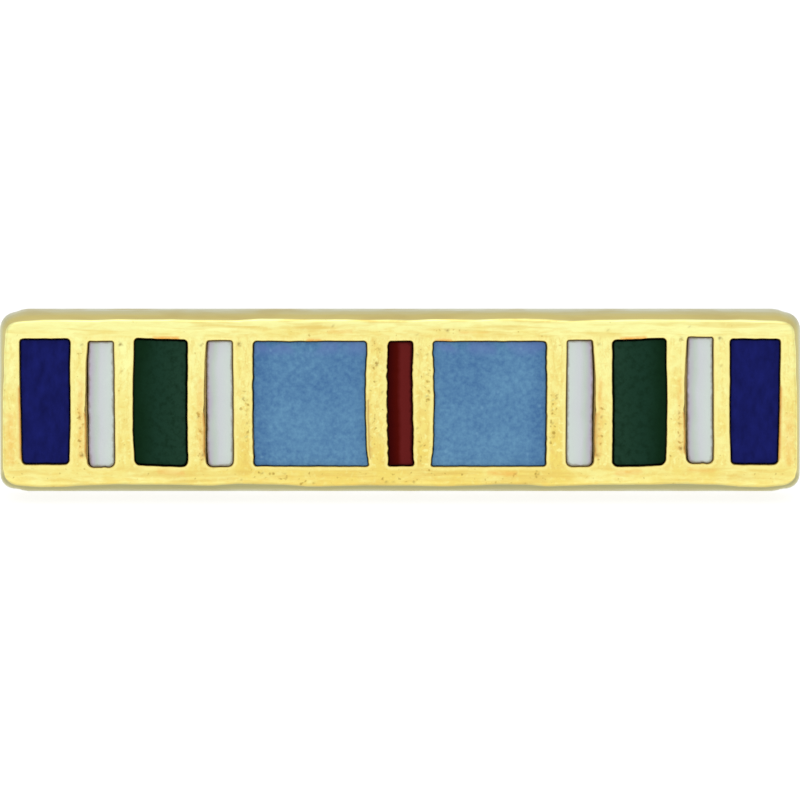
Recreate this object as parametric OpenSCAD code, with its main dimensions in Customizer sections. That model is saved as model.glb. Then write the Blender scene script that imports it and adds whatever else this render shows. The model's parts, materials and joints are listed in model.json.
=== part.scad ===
// Lapel pin in the form of a medal's ribbon bar: gilt brass with eleven enamel fills.
// Millimetres. The pin rests unworn on the plane z = 0, leaning back on its post.
// +X runs along the bar, and its face looks towards -Y and a little upwards.
// Every piece is shaped lying face up, with its back on z = 0 and +Y up the bar,
// and is then stood up to its resting place.

/* [Bar] */
// Length of the bar at its back
bar_length = 17.5; // [17:0.1:20]
// Height of the bar at its back
bar_height = 4.0; // [3.7:0.1:5]
// Thickness from the back to the face
bar_thickness = 1.2; // [0.8:0.05:1.6]
// How far each side slopes inwards between the back and the face
side_draft = 0.20; // [0.05:0.01:0.25]
// Corner radius of the face
face_corner_r = 0.28; // [0.15:0.01:0.4]
// Bevel polished on the outer edge of the face
edge_bevel = 0.05; // [0.02:0.01:0.1]

/* [Enamel] */
// Depth of the cells below the face
cell_depth = 0.35; // [0.2:0.01:0.5]
// Corner radius of a cell
cell_corner_r = 0.08; // [0.05:0.01:0.15]
// Gap between a fill and the walls and floor of its cell
fill_gap = 0.03; // [0.01:0.005:0.04]
// How far a fill stays below the face
fill_sink = 0.06; // [0:0.01:0.12]

/* [Post] */
// Diameter of the post
post_d = 1.14; // [0.9:0.01:1.4]
// Length of the post from the back of the bar to its end
post_length = 8.0; // [6:0.1:10]
// Length of the tapered tip
tip_length = 0.8; // [0.4:0.1:1.5]
// Diameter of the blunt end
tip_end_d = 0.5; // [0.3:0.05:0.8]
// Diameter of the round foot that is soldered to the bar
foot_d = 3.0; // [2:0.1:3.4]
// Thickness of the foot
foot_thickness = 0.25; // [0.15:0.05:0.5]
// Height and reach of the solder round the root of the post
solder_fillet = 0.2; // [0.1:0.05:0.4]

/* [Hidden] */
gilt = "#F2DC80";
navy = "#1A1E5C";
white = "#C9D0CC";
green = "#1B3827";
sky = "#5A86AD";
red = "#5A1514";

// One row for each cell, from left to right, measured on the face from its middle.
// middle is its place along the bar, top and bottom are its two ends,
// taper is what each side leans outwards at the top and inwards at the bottom,
// and rise is how much both ends climb from the cell's middle to its right-hand side.
NAME = 0;
COLOUR = 1;
MIDDLE = 2;
WIDTH = 3;
TOP = 4;
BOTTOM = 5;
TAPER = 6;
RISE = 7;
cells = [
    // name, colour, middle, width, top, bottom, taper, rise
    ["enamel_navy_left", navy, -7.67, 1.08, 1.39, -1.35, 0.014, 0],
    ["enamel_white_left_outer", white, -6.47, 0.59, 1.32, -1.40, 0, 0],
    ["enamel_green_left", green, -5.17, 1.16, 1.365, -1.36, 0.01, -0.022],
    ["enamel_white_left_inner", white, -3.90, 0.60, 1.335, -1.40, 0, 0],
    ["enamel_sky_left", sky, -1.94, 2.46, 1.31, -1.39, -0.01, 0],
    ["enamel_red_centre", red, 0.01, 0.56, 1.32, -1.38, 0, 0],
    ["enamel_sky_right", sky, 1.93, 2.46, 1.31, -1.39, -0.01, 0],
    ["enamel_white_right_inner", white, 3.89, 0.60, 1.345, -1.40, 0, 0],
    ["enamel_green_right", green, 5.17, 1.16, 1.365, -1.36, 0.01, 0.022],
    ["enamel_white_right_outer", white, 6.48, 0.59, 1.41, -1.31, 0, 0],
    ["enamel_navy_right", navy, 7.67, 1.08, 1.39, -1.35, 0.014, 0]
];

back_corner_r = face_corner_r + side_draft;
corner_x = bar_length / 2 - back_corner_r;
corner_y = bar_height / 2 - back_corner_r;
bevel_z = bar_thickness - edge_bevel;
bevel_r = back_corner_r - side_draft * bevel_z / bar_thickness;
face_r = face_corner_r - edge_bevel;

post_r = post_d / 2;
shank_length = post_length - tip_length;
post_root = 0.2; // how far the post is let into the bar, so that both are one solid
arc_steps = 6; // steps in the rounding of a cell's corner

// The pin touches the surface with the lower edge of its back and with the end of its shank.
lean = atan((bar_height / 2 - post_r) / shank_length);

// Where a point [y, z] of the pin lying face up comes to lie along Y once it leans on its post
function stood_y(p) = p[0] * sin(lean) - p[1] * cos(lean);
front_y = min([for (p = [[corner_y + bevel_r, bevel_z], [corner_y + face_r, bar_thickness]])
    stood_y([-p[0], p[1]])]);
back_y = max(stood_y([tip_end_d / 2, -post_length]), stood_y([post_r, -shank_length]));

// Stands a piece up on its resting place, with the pin's own middle over the origin.
module at_rest() {
    translate([0, -(front_y + back_y) / 2, bar_height / 2 * cos(lean)])
        rotate([90 - lean, 0, 0])
            children();
}

// Corner of a cell, brought inwards by inset. side is -1 at the left and 1 at the right,
// end is -1 at the bottom and 1 at the top.
function cell_corner(cell, side, end, inset) = [
    cell[MIDDLE] + side * (cell[WIDTH] / 2 + end * cell[TAPER] - inset),
    (end > 0 ? cell[TOP] : cell[BOTTOM]) + side * cell[RISE] - end * inset
];

// A quarter circle of radius r inside a corner, starting at the angle start
function rounded(corner, side, end, r, start) = [
    for (step = [0 : arc_steps])
        let (angle = start + 90 * step / arc_steps)
        corner + r * [cos(angle) - side, sin(angle) - end]
];

// Outline of a cell, or of its fill where inset is above 0
module cell_outline(cell, inset = 0) {
    r = cell_corner_r - inset;
    polygon(concat(
        rounded(cell_corner(cell, 1, 1, inset), 1, 1, r, 0),
        rounded(cell_corner(cell, -1, 1, inset), -1, 1, r, 90),
        rounded(cell_corner(cell, -1, -1, inset), -1, -1, r, 180),
        rounded(cell_corner(cell, 1, -1, inset), 1, -1, r, 270)
    ));
}

// Section through the rim of the bar, from the axis of a corner outwards
module rim_section() {
    polygon([
        [0, 0],
        [back_corner_r, 0],
        [bevel_r, bevel_z],
        [face_r, bar_thickness],
        [0, bar_thickness]
    ]);
}

// A straight run of the rim, facing +Y and centred on x = 0
module straight_rim(length) {
    translate([-length / 2, 0, 0])
        rotate([90, 0, 90])
            linear_extrude(length)
                rim_section();
}

// The struck blank: a flat block with drafted sides, round corners and a bevelled face
module blank() {
    translate([-corner_x, -corner_y, 0])
        cube([2 * corner_x, 2 * corner_y, bar_thickness]);
    for (turn = [0, 180]) {
        rotate([0, 0, turn])
            translate([0, corner_y, 0])
                straight_rim(2 * corner_x);
        rotate([0, 0, turn + 90])
            translate([0, corner_x, 0])
                straight_rim(2 * corner_y);
        rotate([0, 0, turn])
            translate([corner_x, corner_y, 0])
                rotate_extrude(angle = 90, $fn = 64)
                    rim_section();
        rotate([0, 0, turn])
            translate([-corner_x, corner_y, 0])
                rotate([0, 0, 90])
                    rotate_extrude(angle = 90, $fn = 64)
                        rim_section();
    }
}

// The post with its foot and tapered tip, standing on the back of the bar
module post() {
    mirror([0, 0, 1])
        rotate_extrude($fn = 64)
            polygon([
                [0, -post_root],
                [foot_d / 2, -post_root],
                [foot_d / 2, foot_thickness],
                [post_r + solder_fillet, foot_thickness],
                [post_r, foot_thickness + solder_fillet],
                [post_r, shank_length],
                [tip_end_d / 2, post_length],
                [0, post_length]
            ]);
}

module bar_and_post() {
    color(gilt)
        at_rest() {
            difference() {
                blank();
                for (cell = cells)
                    translate([0, 0, bar_thickness - cell_depth])
                        linear_extrude(cell_depth + 1)
                            cell_outline(cell);
            }
            post();
        }
}

module enamel_fill(cell) {
    color(cell[COLOUR])
        at_rest()
            translate([0, 0, bar_thickness - cell_depth + fill_gap])
                linear_extrude(cell_depth - fill_gap - fill_sink)
                    cell_outline(cell, fill_gap);
}

bar_and_post();
for (cell = cells)
    enamel_fill(cell);
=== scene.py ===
"""Looks of a lapel pin: a gilt struck bar with eleven enamel fills and a soldered post.

Every piece is shaped in millimetres, lying face up: +X along the bar, +Y up the bar, +Z out of the face,
with the middle of the back at the origin. It is then stood up to its resting place, in metres.
"""

import json
import math
from functools import partial

import bmesh
import bpy
from mathutils import Matrix, Vector, noise


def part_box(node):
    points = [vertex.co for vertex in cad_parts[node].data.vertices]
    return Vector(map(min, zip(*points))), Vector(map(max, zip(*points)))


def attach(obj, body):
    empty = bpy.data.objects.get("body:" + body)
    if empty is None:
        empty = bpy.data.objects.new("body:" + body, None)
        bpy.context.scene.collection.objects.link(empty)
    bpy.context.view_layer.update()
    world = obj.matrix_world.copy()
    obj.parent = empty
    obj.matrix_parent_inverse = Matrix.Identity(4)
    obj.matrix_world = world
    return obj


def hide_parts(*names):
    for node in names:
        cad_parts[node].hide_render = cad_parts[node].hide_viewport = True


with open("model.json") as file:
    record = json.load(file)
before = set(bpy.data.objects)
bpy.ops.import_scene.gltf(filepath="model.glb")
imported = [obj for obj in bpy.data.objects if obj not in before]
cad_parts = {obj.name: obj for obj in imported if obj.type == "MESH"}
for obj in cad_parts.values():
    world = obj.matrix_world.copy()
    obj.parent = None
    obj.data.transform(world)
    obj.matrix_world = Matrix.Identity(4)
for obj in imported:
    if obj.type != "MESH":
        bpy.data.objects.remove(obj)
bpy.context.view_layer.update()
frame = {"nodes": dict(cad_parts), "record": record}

MM = 0.001

# The struck bar, in millimetres
BAR_HEIGHT = 4.0
BAR_THICKNESS = 1.2
SIDE_DRAFT = 0.2
BACK_CORNER_R = 0.48
FACE_CORNER_R = 0.28
FACE_EDGE_R = 0.05
BACK_EDGE_R = 0.01
CELL_DEPTH = 0.35
CELL_RIM_R = 0.02
CELL_TOP = 1.35
CELL_BOTTOM = -1.38
NICK_PLACE = 0.62
NICK_REACH = 0.07
FILL_GAP = 0.03
FILL_SINK = 0.06
FILL_EDGE_R = 0.02

# Polishing has rounded the face, which falls by CROWN_DROP over its last CROWN_REACH. Its ripples fade out
# over the last RIPPLE_FADE, and its ends waver over the last END_REACH. The lower corners of the back have
# kept a smaller radius than the upper ones.
CROWN_REACH = 0.2
CROWN_DROP = 0.014
RIPPLE_FADE = 0.1
END_REACH = 0.25
LOWER_BACK_CORNER_R = 0.39

# The soldered post, in millimetres
FOOT_R = 1.5
FOOT_THICKNESS = 0.25
FOOT_EDGE_R = 0.06
SOLDER_FILLET = 0.2
FILLET_STEPS = 5
TIP_LENGTH = 0.8
TIP_END_R = 0.25
TIP_SHOULDER_R = 0.12
TIP_EDGE_R = 0.08
POST_ROOT = 0.05

# Spacing of the fine grid that the face and the fills are cut into
GRID_STEP = 0.1

# The camera, in millimetres and degrees: it looks at the face from a little above its normal
CAMERA_DISTANCE = 100.0
CAMERA_ABOVE_NORMAL = 2.4
AIM_ABOVE_MIDDLE = 0.048
SENSOR_WIDTH = 36.0
VIEW_WIDTH = 17.5

clutch_post = next(m for m in frame["record"]["mounts"] if m["name"] == "clutch_post")
post_axis = Vector(clutch_post["axis"])
post_r = clutch_post["dims"]["r_mm"]
free_length = clutch_post["dims"]["length_mm"]
shank_length = FOOT_THICKNESS + SOLDER_FILLET + free_length
back_middle = Vector(clutch_post["pos_m"]) - post_axis * (shank_length - free_length / 2) * MM
lean = math.atan2(-post_axis.z, post_axis.y)
stand_up = Matrix.Rotation(math.pi / 2 - lean, 4, "X")
at_rest = Matrix.Translation(back_middle) @ stand_up @ Matrix.Scale(MM, 4)

low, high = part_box("bar_and_post")
bar_length = (high.x - low.x) / MM
face_half_x = bar_length / 2 - SIDE_DRAFT
face_half_y = BAR_HEIGHT / 2 - SIDE_DRAFT


# Cells, from left to right


def fill_extent(node):
    """Left, right, bottom and top of a fill in the solid model, in the bar's own millimetres."""
    flat = [at_rest.inverted() @ v.co for v in frame["nodes"][node].data.vertices]
    xs = [p.x for p in flat]
    ys = [p.y for p in flat]
    return min(xs), max(xs), min(ys), max(ys)


# How the two sides of each kind of cell wander, as (height, millimetres outwards) from the foot to the top.
# The first side is the one away from the pin's middle, but both outer white cells were cut with one tool,
# so that both have theirs at the left. A white cell bulges there, most of all a little below its middle,
# while the enamel in it keeps a nearly straight edge, so that the seam takes up the bulge.
# ends are how far the top and the foot lie outwards, and bow is what the foot's middle lies further out.
# rise is what both ends climb from the middle of the cell to its first side, and nick is a burr in its foot.
# scallop is how far the cutter's bites show on the two sides. corners are the radii at the top and the foot.
# seam is the width of the seam, and wider is what it gains along the first side, from the foot to the top.
# What a kind of cell doesn't list is 0.
WHITE_BULGE = [(-1.38, -0.012), (-1.2, 0.0), (-1.03, 0.025), (-0.82, 0.013), (-0.6, 0.014), (-0.3, 0.028),
               (-0.17, 0.05), (-0.05, 0.032), (0.48, 0.027), (0.9, 0.01), (1.35, -0.024)]
WHITE_SEAM = [(-1.38, 0.021), (-1.03, 0.039), (-0.8, 0.027), (-0.5, 0.033), (-0.17, 0.055), (0.0, 0.039),
              (0.5, 0.031), (0.9, 0.021), (1.35, 0.011)]
WANDER = {
    "navy": {"first": [(-1.38, -0.044), (0.0, -0.014), (1.35, 0.0)],
             "second": [(-1.38, -0.04), (-1.03, -0.033), (-0.3, -0.009), (0.0, -0.01), (0.48, -0.022),
                        (1.35, -0.009)],
             "ends": (-0.015, 0.0), "scallop": (0.004, 0.004), "corners": (0.08, 0.10), "seam": 0.024,
             "wider": [(0.0, -0.006)]},
    "white_outer": {"first": WHITE_BULGE,
                    "second": [(-1.38, 0.008), (-1.1, 0.010), (0.0, 0.0), (1.35, -0.008)],
                    "ends": (0.003, 0.022), "nick": 0.02, "scallop": (0.006, 0.002), "corners": (0.05, 0.13),
                    "seam": 0.011, "wider": WHITE_SEAM},
    "green": {"first": [(-1.38, -0.01), (-1.2, -0.014), (-0.8, 0.004), (-0.6, 0.018), (-0.38, 0.011),
                        (0.05, 0.012), (0.48, 0.006), (0.9, -0.007), (1.35, -0.007)],
              "second": [(-1.38, -0.01), (-0.25, -0.017), (1.35, -0.01)],
              "ends": (0.005, 0.018), "bow": 0.016, "rise": 0.022, "scallop": (0.004, 0.008),
              "corners": (0.09, 0.13), "seam": 0.034, "wider": [(0.0, -0.018)]},
    "white_inner": {"first": WHITE_BULGE,
                    "second": [(-1.38, -0.002), (-1.1, 0.004), (0.0, -0.004), (1.35, -0.018)],
                    "ends": (0.0, 0.003), "scallop": (0.006, 0.002), "corners": (0.05, 0.13), "seam": 0.011,
                    "wider": WHITE_SEAM},
    "sky": {"first": [(-1.38, -0.02), (-0.7, 0.004), (0.7, 0.003), (1.35, -0.005)],
            "second": [(-1.38, 0.03), (-1.2, 0.011), (-1.03, -0.02), (-0.9, -0.03), (0.3, -0.045),
                       (0.85, -0.035), (1.08, -0.018), (1.35, -0.015)],
            "ends": (0.01, 0.004), "scallop": (0.012, 0.014), "corners": (0.08, 0.06), "seam": 0.012,
            "wider": [(0.0, 0.006)]},
    "red": {"first": [(-1.38, -0.02), (-0.6, 0.0), (0.0, 0.007), (0.4, 0.013), (1.35, -0.004)],
            "second": [(-1.38, 0.03), (-1.29, 0.026), (-1.2, -0.002), (0.0, -0.016), (0.7, -0.024),
                       (1.35, -0.008)],
            "ends": (0.002, 0.006), "scallop": (0.028, 0.014), "corners": (0.06, 0.06), "seam": 0.016,
            "wider": [(0.0, 0.0)]},
}


def read_cells():
    """One dict for each cell, from left to right, with its extent on the face and how its sides wander."""
    found = []
    for node in frame["nodes"]:
        if not node.startswith("enamel_"):
            continue
        words = node.split("_")
        colour = words[1]
        kind = colour if colour != "white" else "white_" + words[3]
        left, right, bottom, top = fill_extent(node)
        rise = WANDER[kind].get("rise", 0)
        found.append({
            "node": node,
            "colour": colour,
            "left": left - FILL_GAP,
            "right": right + FILL_GAP,
            "bottom": bottom - FILL_GAP + rise,
            "top": top + FILL_GAP - rise,
            "first_side": 1 if left + right > 0.1 and kind != "white_outer" else -1,
            "wander": WANDER[kind],
        })
    return sorted(found, key=lambda cell: cell["left"])


cells = read_cells()


def clamped(share):
    """A share, kept from 0 to 1."""
    return min(max(share, 0), 1)


def waver(depth, *place):
    """A rise and fall of up to about depth on either side of 0, which is always the same at a place."""
    return depth * noise.noise(Vector(place))


def between(knots, x):
    """The value at x along a list of (place, value) pairs."""
    if x <= knots[0][0]:
        return knots[0][1]
    for (x0, a), (x1, b) in zip(knots, knots[1:]):
        if x <= x1:
            return a + (b - a) * (x - x0) / (x1 - x0)
    return knots[-1][1]


def side_shift(cell, side, y):
    """How far a side of a cell, -1 left or 1 right, lies right of its straight line at height y."""
    first = side == cell["first_side"]
    scallop = cell["wander"]["scallop"][0 if first else 1]
    uneven = (waver(0.010, cell["left"] + side, y * 2.2, 3.1)
              + waver(scallop, cell["left"] + side, y * 10.0, 8.3))
    return side * between(cell["wander"]["first" if first else "second"], y) + uneven


def end_shift(cell, side, end):
    """How far an end of a cell, -1 bottom or 1 top, lies above its straight line on a side."""
    top_further, foot_further = cell["wander"]["ends"]
    if end > 0:
        straight = cell["top"] - CELL_TOP + top_further
    else:
        straight = cell["bottom"] - CELL_BOTTOM - foot_further
    return straight + side * cell["first_side"] * cell["wander"].get("rise", 0)


def struck(x, y):
    """Moves a point of the face's straight grid to where the hand-cut die has put it."""
    fall = clamped(1 - max(0, abs(y) - CELL_TOP) / (face_half_y - CELL_TOP))
    sideways, tops, bottoms = ([(-face_half_x, 0)] for _ in range(3))
    for cell in cells:
        left, right, wander = cell["left"], cell["right"], cell["wander"]
        level = end_shift(cell, 0, -1)
        sideways += [(left, side_shift(cell, -1, y)), (right, side_shift(cell, 1, y))]
        tops += [(left, end_shift(cell, -1, 1)), (right, end_shift(cell, 1, 1))]
        bottoms.append((left, end_shift(cell, -1, -1)))
        if "nick" in wander:
            nick = left + NICK_PLACE * (right - left)
            bottoms += [(nick - NICK_REACH, level), (nick, level + wander["nick"]),
                        (nick + NICK_REACH, level)]
        if "bow" in wander:
            bottoms.append(((left + right) / 2, level - wander["bow"]))
        bottoms.append((right, end_shift(cell, 1, -1)))
    for knots in (sideways, tops, bottoms):
        knots.append((face_half_x, 0))
    edge = math.copysign(5.0, y)
    lift = between(tops if y > 0 else bottoms, x)
    lift += waver(0.008, x * 2.5, edge, 0.4) + waver(0.006, x * 7.0, edge, 6.4)
    return x + between(sideways, x) * fall, y + lift * min(abs(y) / CELL_TOP, 1) * fall


# How far the face's two long edges lie above their straight lines, as (place along the bar, height)
LOWER_EDGE = [(-8.5, 0.006), (-8.25, 0.002), (-7.7, -0.038), (-7.2, -0.02), (-6.66, 0.009), (-5.6, 0.026),
              (-5.1, 0.018), (-4.06, -0.007), (-3.55, 0.035), (-2.5, 0.018), (-2.0, -0.03), (-1.47, -0.007),
              (-0.4, 0.001), (1.1, -0.018), (2.2, 0.023), (2.7, 0.018), (3.2, -0.022), (4.2, 0.012),
              (5.3, 0.02), (5.8, 0.034), (6.8, 0.025), (7.35, -0.033), (7.9, -0.037), (8.25, 0.002),
              (8.45, 0.015)]
UPPER_EDGE = [(-8.5, -0.055), (-8.4, -0.075), (-8.3, -0.072), (-8.15, -0.05), (-7.7, -0.026), (-7.2, -0.021),
              (-6.66, -0.031), (-6.1, -0.016), (-5.6, -0.01), (-4.6, -0.021), (-3.55, -0.028), (-3.0, 0.003),
              (-2.0, -0.017), (-1.4, -0.006), (-0.4, -0.024), (0.3, -0.026), (1.1, -0.002), (1.64, -0.021),
              (2.2, 0.0), (2.7, 0.005), (3.2, -0.012), (3.72, -0.05), (4.24, -0.022), (5.3, -0.015),
              (6.3, -0.016), (6.83, -0.029), (7.35, -0.021), (8.15, -0.048), (8.3, -0.068), (8.4, -0.072),
              (8.5, -0.052)]
# How far the face's two ends lie outwards, as (height, distance), and how far the back's long edges fall
# inwards near the ends, as (place along the bar, distance)
END_EDGE = [(-1.64, 0.018), (-1.6, 0.013), (-1.55, 0.008), (-1.51, 0.018), (-1.47, 0.029), (-1.3, 0.035),
            (-0.6, 0.036), (0.1, 0.03), (0.35, 0.021), (0.6, -0.001), (0.87, 0.002), (1.13, -0.003),
            (1.3, -0.02), (1.45, -0.029)]
BACK_FALL = [(8.17, 0.0), (8.26, 0.018), (8.32, 0.04), (8.39, 0.05), (8.45, 0.043), (8.52, 0.032),
             (8.6, 0.016), (8.7, 0.0)]


def inside(x, y, half_x, half_y, corner_r):
    """How far a point lies inside a rectangle with rounded corners around the origin; below 0 outside it."""
    past_x = abs(x) - half_x + corner_r
    past_y = abs(y) - half_y + corner_r
    return corner_r - math.hypot(max(past_x, 0), max(past_y, 0)) - min(max(past_x, past_y), 0)


def inside_cell(cell, x, y):
    """How far a point of the straight grid lies inside a cell; below 0 outside it."""
    half_x = (cell["right"] - cell["left"]) / 2
    half_y = (CELL_TOP - CELL_BOTTOM) / 2
    corner_r = cell["wander"]["corners"][0 if y > 0 else 1]
    return inside(x - cell["left"] - half_x, y - CELL_BOTTOM - half_y, half_x, half_y, corner_r)


# Marks on the face


# Small pits that polishing has opened, as (x, y, radius). Those beside the outer white cells come twice,
# at the same side of both cells, and those beside the inner ones come mirrored, as those cells do.
OUTER_PITS = [(-6.88, 1.24, 0.025), (-6.04, 1.26, 0.035), (-6.90, -0.32, 0.025), (-6.91, -0.55, 0.02),
              (-6.89, -0.84, 0.02), (-6.86, -1.12, 0.035), (-6.02, 0.68, 0.02)]
OUTER_REPEAT = Vector((12.95, 0.085))
INNER_PITS = [(-4.31, 1.24, 0.025), (-4.33, -0.32, 0.025), (-4.30, -0.58, 0.02), (-4.26, -1.12, 0.03),
              (-3.38, 0.09, 0.025), (-3.30, 0.05, 0.02), (-3.29, -0.17, 0.02), (-3.30, -0.45, 0.02),
              (-3.32, -0.73, 0.025), (-3.00, -1.54, 0.025), (-2.51, -1.55, 0.02)]
SINGLE_PITS = [
    (-3.47, 1.28, 0.035), (-3.44, -1.70, 0.02), (1.02, 1.57, 0.03), (0.37, 1.50, 0.02), (-0.45, 1.17, 0.02),
    (-0.48, 0.83, 0.03), (-0.56, 0.79, 0.02), (0.38, 1.04, 0.025), (0.58, 1.06, 0.02), (0.57, 0.63, 0.02),
    (0.56, 0.13, 0.025), (-0.30, -1.72, 0.025), (-0.15, -1.72, 0.02), (0.30, -1.72, 0.025),
    (-0.42, -0.72, 0.02), (0.45, -0.95, 0.02), (-0.36, 0.22, 0.02), (6.25, 1.61, 0.02), (4.50, 1.56, 0.02),
    (-1.45, 1.66, 0.02),
]
PITS = (OUTER_PITS + [(x + OUTER_REPEAT.x, y + OUTER_REPEAT.y, r) for x, y, r in OUTER_PITS]
        + INNER_PITS + [(-x, y, r) for x, y, r in INNER_PITS] + SINGLE_PITS)


def with_mirrored(lines):
    """The lines themselves and, after them, their mirror images."""
    return lines + [(-x0, y0, -x1, y1, *rest) for x0, y0, x1, y1, *rest in lines]


# Tarnish and heat tints, each along a line on the straight grid: (x0, y0, x1, y1, reach, brown, orange).
# The first ones come mirrored.
PAIRED_STAINS = [
    (-5.30, 1.37, -4.80, 1.37, 0.07, 0.0, 1.0),
    (-5.20, -1.50, -4.70, -1.52, 0.10, 0.0, 0.45),
    (-8.24, 0.30, -8.24, -1.25, 0.05, 0.3, 0.9),
    (-8.42, -0.30, -8.42, -1.30, 0.14, 0.0, 0.3),
    (-4.22, -0.25, -4.22, -1.15, 0.05, 0.45, 0.8),
    (-4.30, 0.45, -4.28, -1.15, 0.12, 0.0, 0.36),
]
SINGLE_STAINS = [
    (-6.78, -0.25, -6.78, -1.15, 0.05, 0.45, 0.8),
    (-6.88, 0.45, -6.88, -1.20, 0.12, 0.0, 0.36),
    (6.17, -0.25, 6.17, -1.15, 0.05, 0.45, 0.8),
    (6.07, 0.45, 6.07, -1.10, 0.12, 0.0, 0.3),
    # This line, along the left sky cell's right side, is browner and darker than the gilding round it
    (-0.65, 0.05, -0.64, -1.18, 0.04, 0.45, 0.4),
    (-1.98, 1.37, -1.72, 1.37, 0.05, 0.1, 0.9),
    (-1.55, 1.55, -1.05, 1.55, 0.06, 0.0, 0.35),
    (0.78, 1.37, 1.10, 1.37, 0.05, 0.1, 0.8),
    (1.30, 1.52, 1.90, 1.53, 0.05, 0.0, 0.3),
    (1.95, -1.52, 2.50, -1.55, 0.10, 0.0, 0.5),
    (6.25, -1.50, 6.75, -1.52, 0.08, 0.0, 0.3),
]
STAINS = with_mirrored(PAIRED_STAINS) + SINGLE_STAINS

# Where the casting skin shows as specks, each along a line: (x0, y0, x1, y1, reach, how thickly)
PAIRED_SPECKS = [
    (-4.31, -0.10, -4.26, -1.18, 0.11, 1.0),
    (-4.30, 1.30, -4.32, 1.10, 0.08, 0.7),
    (-3.34, 0.20, -3.28, -0.85, 0.09, 0.9),
    (-3.05, -1.56, -1.90, -1.70, 0.13, 0.55),
    (-3.46, 1.32, -3.44, 1.24, 0.06, 1.0),
]
SINGLE_SPECKS = [
    (-6.91, -0.10, -6.84, -1.18, 0.11, 1.0),
    (-6.88, 1.30, -6.90, 1.05, 0.08, 0.8),
    (6.04, -0.05, 6.11, -1.10, 0.11, 1.0),
    (6.07, 1.38, 6.05, 1.15, 0.08, 0.8),
    (-0.52, 1.25, -0.44, 0.55, 0.13, 0.9),
    (-0.50, 0.10, -0.52, -1.20, 0.10, 0.45),
    (0.58, 0.75, 0.56, -0.30, 0.10, 0.8),
    (0.38, -0.60, 0.42, -1.25, 0.10, 0.45),
    (0.80, 1.55, 1.30, 1.58, 0.08, 0.6),
    (-0.40, -1.68, 0.40, -1.70, 0.09, 0.5),
]
SPECKS = with_mirrored(PAIRED_SPECKS) + SINGLE_SPECKS

# How brown the dark, painted-shade seam round each colour is, from 0, black, to 1
BROWN_FLUX = {"white": 1.0, "sky": 0.5, "navy": 0.25}


def from_line(x, y, x0, y0, x1, y1):
    """How far a point lies from a line between two points."""
    along = clamped(((x - x0) * (x1 - x0) + (y - y0) * (y1 - y0)) / ((x1 - x0) ** 2 + (y1 - y0) ** 2))
    return math.hypot(x - x0 - along * (x1 - x0), y - y0 - along * (y1 - y0))


def marks_at(x, y):
    """How brown, how orange and how specked the gilding is at a point of the face, each from 0 to 1."""
    brown = orange = specked = 0
    for x0, y0, r in PITS:
        # A pit's tarnish fades over the 0.04 mm round its rim, and a pit of 0.05 mm would be wholly brown
        brown = max(brown, r * 20 * clamped((r + 0.02 - math.hypot(x - x0, y - y0)) / 0.04))
    for *line, reach, browned, oranged in STAINS:
        near = max(1 - from_line(x, y, *line) / reach, 0)
        near = near * near * (3 - 2 * near)
        brown = max(brown, browned * near)
        orange = max(orange, oranged * near)
    for *line, reach, thickly in SPECKS:
        near = max(1 - from_line(x, y, *line) / reach, 0)
        specked = max(specked, thickly * min(near * 2, 1))
    return brown, orange, specked


# Working in edit mode


def only(obj):
    """Leaves obj as the one selected and active object."""
    bpy.ops.object.select_all(action="DESELECT")
    obj.select_set(True)
    bpy.context.view_layer.objects.active = obj


def named(name):
    obj = bpy.context.object
    obj.name = name
    obj.data.name = name
    return obj


def pick(obj, kind, test):
    """Selects the vertices, edges or faces of obj, in edit mode, that pass the test, and nothing else."""
    bpy.context.tool_settings.mesh_select_mode = (kind == "verts", kind == "edges", kind == "faces")
    mesh = bmesh.from_edit_mesh(obj.data)
    for group in (mesh.verts, mesh.edges, mesh.faces):
        for part in group:
            part.select = False
    for part in getattr(mesh, kind):
        if not part.hide and test(part):
            part.select_set(True)
    mesh.select_flush_mode()
    bmesh.update_edit_mesh(obj.data)


def show_only(obj, test):
    """Hides the faces that fail the test, so that the next cuts leave them alone."""
    bpy.ops.mesh.reveal(select=False)
    pick(obj, "faces", lambda face: not test(face))
    bpy.ops.mesh.hide(unselected=False)


def middle_of(edge):
    return (edge.verts[0].co + edge.verts[1].co) / 2


def extrude(rise):
    """Draws the selected faces out along Z."""
    bpy.ops.mesh.extrude_region_move(TRANSFORM_OT_translate={"value": (0, 0, rise)})


def cut_lines(stops, step):
    """Places between the stops, evenly spaced and no further apart than step."""
    lines = []
    for a, b in zip(stops, stops[1:]):
        count = max(1, math.ceil((b - a) / step - 1e-6))
        lines += [a + (b - a) * i / count for i in range(1, count)]
    return lines


def cut_across(places, axis):
    """Cuts every shown face with a plane at each place along an axis."""
    normal = Vector((axis == "x", axis == "y", 0))
    for place in places:
        bpy.ops.mesh.select_all(action="SELECT")
        bpy.ops.mesh.bisect(plane_co=normal * place, plane_no=normal, threshold=1e-5)


def face_outwards():
    """Turns every face of a closed piece outwards, in edit mode."""
    bpy.ops.mesh.reveal(select=False)
    bpy.ops.mesh.select_all(action="SELECT")
    bpy.ops.mesh.normals_make_consistent(inside=False)


def stand_at_rest(obj, *nodes):
    """Stands a finished piece up in its resting place, with the place in its mesh, for these CAD nodes."""
    only(obj)
    obj.matrix_world = at_rest
    bpy.ops.object.transform_apply(location=True, rotation=True, scale=True)
    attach(obj, "root")
    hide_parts(*nodes)


def write_on_points(obj, name, values):
    """Keeps one number for each vertex of a piece, for its material to read."""
    attribute = obj.data.attributes.new(name, "FLOAT", "POINT")
    attribute.data.foreach_set("value", values)


# The struck bar


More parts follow.
